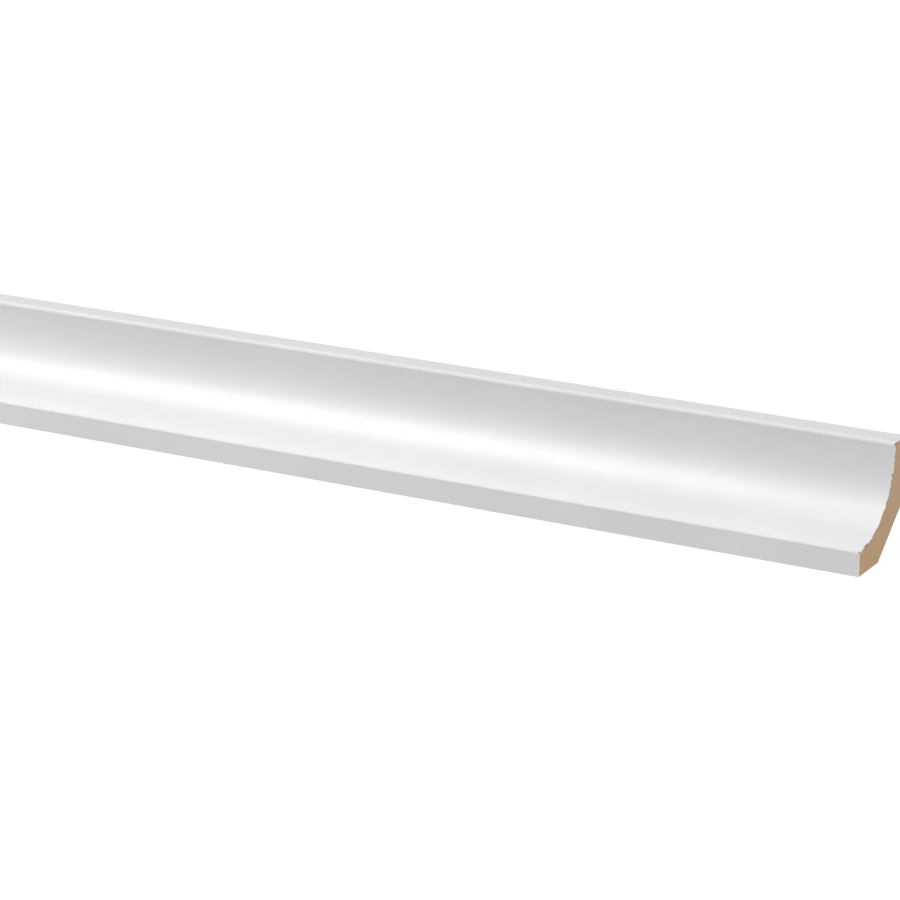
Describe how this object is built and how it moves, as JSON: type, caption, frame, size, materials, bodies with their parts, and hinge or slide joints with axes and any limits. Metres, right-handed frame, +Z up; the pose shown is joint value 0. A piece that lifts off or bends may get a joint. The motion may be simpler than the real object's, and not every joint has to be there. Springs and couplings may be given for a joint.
{
  "type": "cove moulding",
  "caption": "Straight length of cove moulding with a quarter-circle hollow front between two flat lips, painted white, cut square at both ends, to cover the corner of a wall and a ceiling.",
  "frame": {"origin": "middle of the upright fixing face, which goes against the wall", "axes": "+X along the moulding, +Y into the wall, +Z up as the picture shows it; the hollow faces -Y and +Z. For a ceiling it is turned half a turn about X"},
  "size_m": [0.42, 0.04, 0.04],
  "materials": {
    "white_painted_fibreboard": "satin white paint on the cove and both lips; raw brown fibreboard on the sawn ends, the sloping back and the two fixing faces"
  },
  "bodies": {
    "root": {"cove_moulding": "white_painted_fibreboard"}
  },
  "joints": []
}
